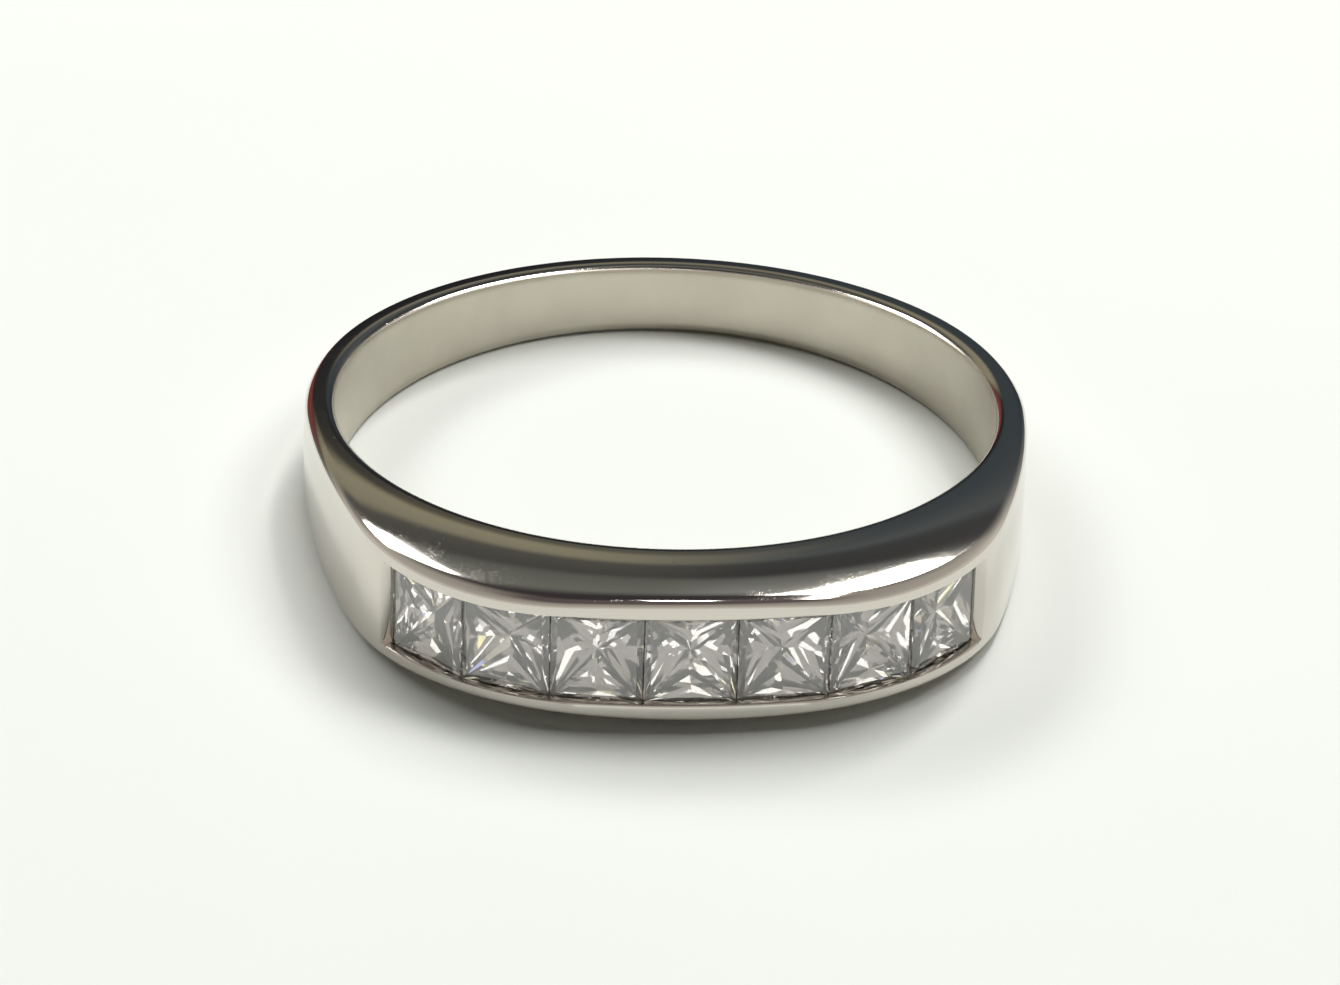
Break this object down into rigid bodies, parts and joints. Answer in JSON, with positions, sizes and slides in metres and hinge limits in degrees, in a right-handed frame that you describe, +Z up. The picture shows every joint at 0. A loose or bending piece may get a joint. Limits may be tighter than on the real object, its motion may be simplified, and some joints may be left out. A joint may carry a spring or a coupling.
{
  "type": "channel set band",
  "caption": "Tapered white metal finger ring with a cushion shaped head and a row of square cut stones held between two rails.",
  "frame": {"origin": "middle of the footprint, on the surface that the ring lies on", "axes": "+Z up from the surface, -Y towards the head and its row of stones, X along the row"},
  "size_m": [0.0198, 0.0218, 0.0041],
  "materials": {
    "white_metal": "polished white gold, satin inside the finger hole",
    "clear_stone": "polished colourless diamond"
  },
  "bodies": {
    "root": {"band": "white_metal", "stone_1": "clear_stone", "stone_2": "clear_stone", "stone_3": "clear_stone", "stone_4": "clear_stone", "stone_5": "clear_stone", "stone_6": "clear_stone", "stone_7": "clear_stone"}
  },
  "joints": []
}
